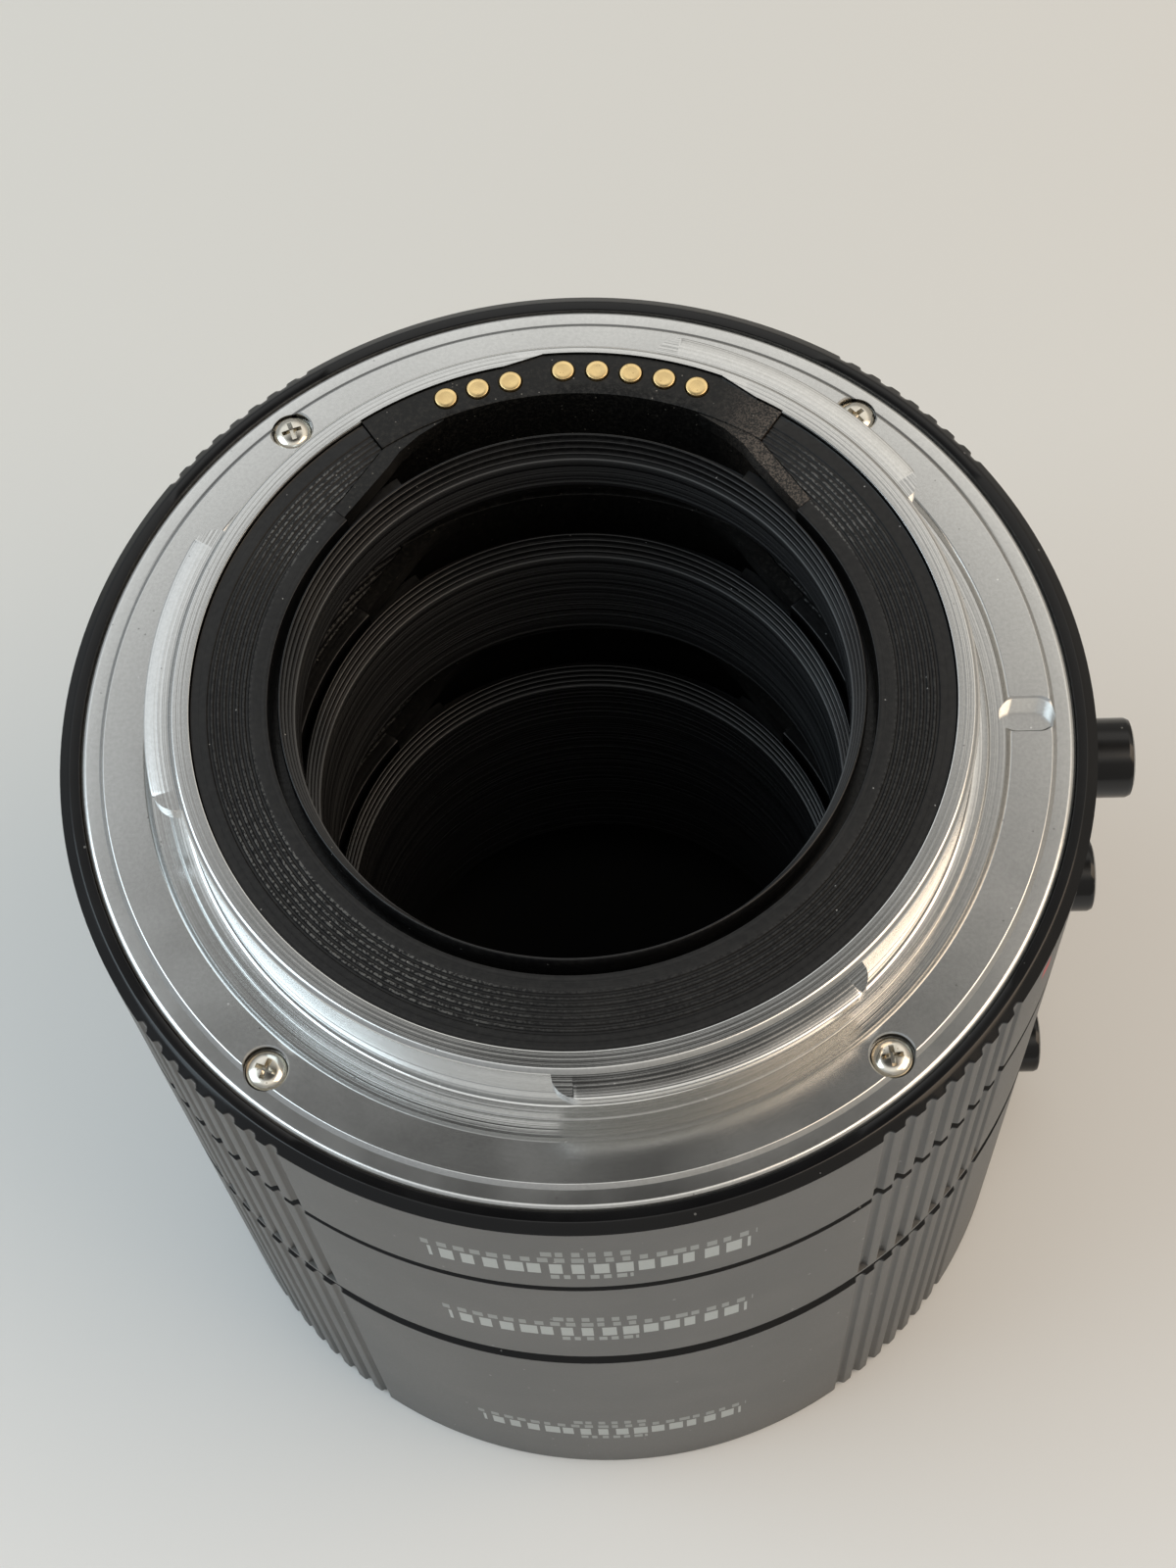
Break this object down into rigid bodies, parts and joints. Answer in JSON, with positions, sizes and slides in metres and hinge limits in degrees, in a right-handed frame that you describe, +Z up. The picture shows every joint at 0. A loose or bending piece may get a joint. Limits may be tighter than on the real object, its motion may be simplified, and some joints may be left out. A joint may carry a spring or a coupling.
{
  "type": "macro extension tube set",
  "caption": "Set of stacked hollow tubes with bayonet mounts, electrical contacts, ribbed grips and release buttons, put between a camera and a lens for close-ups.",
  "frame": {"origin": "Centre of the front mount face of the lowest tube, on the optical axis, which is the plane the stack stands on.", "axes": "Z runs up the optical axis towards the rear mount, X points to the release buttons and the lock slot, Y to the electrical contacts."},
  "size_m": [0.0698, 0.0668, 0.0747],
  "materials": {
    "barrel_shell": "satin charcoal anodised shell with a gloss black rear rim",
    "mount_alloy": "turned satin alloy with fine lathe marks",
    "screw_steel": "nickel plated steel",
    "spring_steel": "bright spring steel",
    "matt_black": "matt black moulding",
    "contact_carrier": "black moulded contact carrier",
    "gloss_black": "gloss black button",
    "gold_contact": "gold plated contact",
    "flex_circuit": "amber flexible circuit film"
  },
  "bodies": {
    "tube_stack": {"barrel_36": "barrel_shell", "rear_mount_36": "mount_alloy", "rear_screws_36": "screw_steel", "light_baffle_36": "matt_black", "inner_sleeve_36": "matt_black", "rear_contact_block_36": "contact_carrier", "rear_contacts_36": "gold_contact", "front_mount_36": "mount_alloy", "front_screws_36": "screw_steel", "mount_spring_36": "spring_steel", "front_contact_block_36": "contact_carrier", "lock_spring_36": "spring_steel", "lock_housing_36": "matt_black", "flex_strip_36": "flex_circuit", "barrel_20": "barrel_shell", "rear_mount_20": "mount_alloy", "rear_screws_20": "screw_steel", "light_baffle_20": "matt_black", "inner_sleeve_20": "matt_black", "rear_contact_block_20": "contact_carrier", "rear_contacts_20": "gold_contact", "front_mount_20": "mount_alloy", "front_screws_20": "screw_steel", "mount_spring_20": "spring_steel", "front_contact_block_20": "contact_carrier", "contact_pins_20": "gold_contact", "lock_spring_20": "spring_steel", "lock_housing_20": "matt_black", "flex_strip_20": "flex_circuit", "barrel_13": "barrel_shell", "rear_mount_13": "mount_alloy", "rear_screws_13": "screw_steel", "light_baffle_13": "matt_black", "inner_sleeve_13": "matt_black", "rear_contact_block_13": "contact_carrier", "rear_contacts_13": "gold_contact", "front_mount_13": "mount_alloy", "front_screws_13": "screw_steel", "mount_spring_13": "spring_steel", "front_contact_block_13": "contact_carrier", "contact_pins_13": "gold_contact", "lock_spring_13": "spring_steel", "lock_housing_13": "matt_black", "flex_strip_13": "flex_circuit"},
    "release_button_13": {"release_button_13": "gloss_black"},
    "release_button_20": {"release_button_20": "gloss_black"},
    "release_button_36": {"release_button_36": "gloss_black"},
    "lock_pin_13": {"lock_pin_13": "screw_steel"},
    "lock_pin_20": {"lock_pin_20": "screw_steel"},
    "lock_pin_36": {"lock_pin_36": "screw_steel"},
    "contact_pin_1": {"contact_pin_1": "gold_contact"},
    "contact_pin_2": {"contact_pin_2": "gold_contact"},
    "contact_pin_3": {"contact_pin_3": "gold_contact"},
    "contact_pin_4": {"contact_pin_4": "gold_contact"},
    "contact_pin_5": {"contact_pin_5": "gold_contact"},
    "contact_pin_6": {"contact_pin_6": "gold_contact"},
    "contact_pin_7": {"contact_pin_7": "gold_contact"},
    "contact_pin_8": {"contact_pin_8": "gold_contact"}
  },
  "joints": [
    {"name": "button_press_13", "type": "slide", "parent": "tube_stack", "child": "release_button_13", "axis": [-1, 0, 0], "range_m": [0, 0.001], "stiffness_N_per_m": 100},
    {"name": "lock_pin_lift_13", "type": "slide", "parent": "tube_stack", "child": "lock_pin_13", "axis": [0, 0, 1], "range_m": [0, 0.001], "stiffness_N_per_m": 300, "deforming": ["lock_spring_13"]},
    {"name": "button_press_20", "type": "slide", "parent": "tube_stack", "child": "release_button_20", "axis": [-1, 0, 0], "range_m": [0, 0.001], "stiffness_N_per_m": 100},
    {"name": "lock_pin_lift_20", "type": "slide", "parent": "tube_stack", "child": "lock_pin_20", "axis": [0, 0, 1], "range_m": [0, 0.001], "stiffness_N_per_m": 300, "deforming": ["lock_spring_20"]},
    {"name": "button_press_36", "type": "slide", "parent": "tube_stack", "child": "release_button_36", "axis": [-1, 0, 0], "range_m": [0, 0.001], "stiffness_N_per_m": 100},
    {"name": "lock_pin_lift_36", "type": "slide", "parent": "tube_stack", "child": "lock_pin_36", "axis": [0, 0, 1], "range_m": [-0.00085, 0.00015], "stiffness_N_per_m": 300, "deforming": ["lock_spring_36"]},
    {"name": "contact_press_1", "type": "slide", "parent": "tube_stack", "child": "contact_pin_1", "axis": [0, 0, 1], "range_m": [0, 0.0006], "stiffness_N_per_m": 400},
    {"name": "contact_press_2", "type": "slide", "parent": "tube_stack", "child": "contact_pin_2", "axis": [0, 0, 1], "range_m": [0, 0.0006], "stiffness_N_per_m": 400},
    {"name": "contact_press_3", "type": "slide", "parent": "tube_stack", "child": "contact_pin_3", "axis": [0, 0, 1], "range_m": [0, 0.0006], "stiffness_N_per_m": 400},
    {"name": "contact_press_4", "type": "slide", "parent": "tube_stack", "child": "contact_pin_4", "axis": [0, 0, 1], "range_m": [0, 0.0006], "stiffness_N_per_m": 400},
    {"name": "contact_press_5", "type": "slide", "parent": "tube_stack", "child": "contact_pin_5", "axis": [0, 0, 1], "range_m": [0, 0.0006], "stiffness_N_per_m": 400},
    {"name": "contact_press_6", "type": "slide", "parent": "tube_stack", "child": "contact_pin_6", "axis": [0, 0, 1], "range_m": [0, 0.0006], "stiffness_N_per_m": 400},
    {"name": "contact_press_7", "type": "slide", "parent": "tube_stack", "child": "contact_pin_7", "axis": [0, 0, 1], "range_m": [0, 0.0006], "stiffness_N_per_m": 400},
    {"name": "contact_press_8", "type": "slide", "parent": "tube_stack", "child": "contact_pin_8", "axis": [0, 0, 1], "range_m": [0, 0.0006], "stiffness_N_per_m": 400}
  ],
  "couplings": [
    {"joint": "lock_pin_lift_13", "follows": "button_press_13", "ratio": 1},
    {"joint": "lock_pin_lift_20", "follows": "button_press_20", "ratio": 1},
    {"joint": "lock_pin_lift_36", "follows": "button_press_36", "ratio": 0.15}
  ]
}
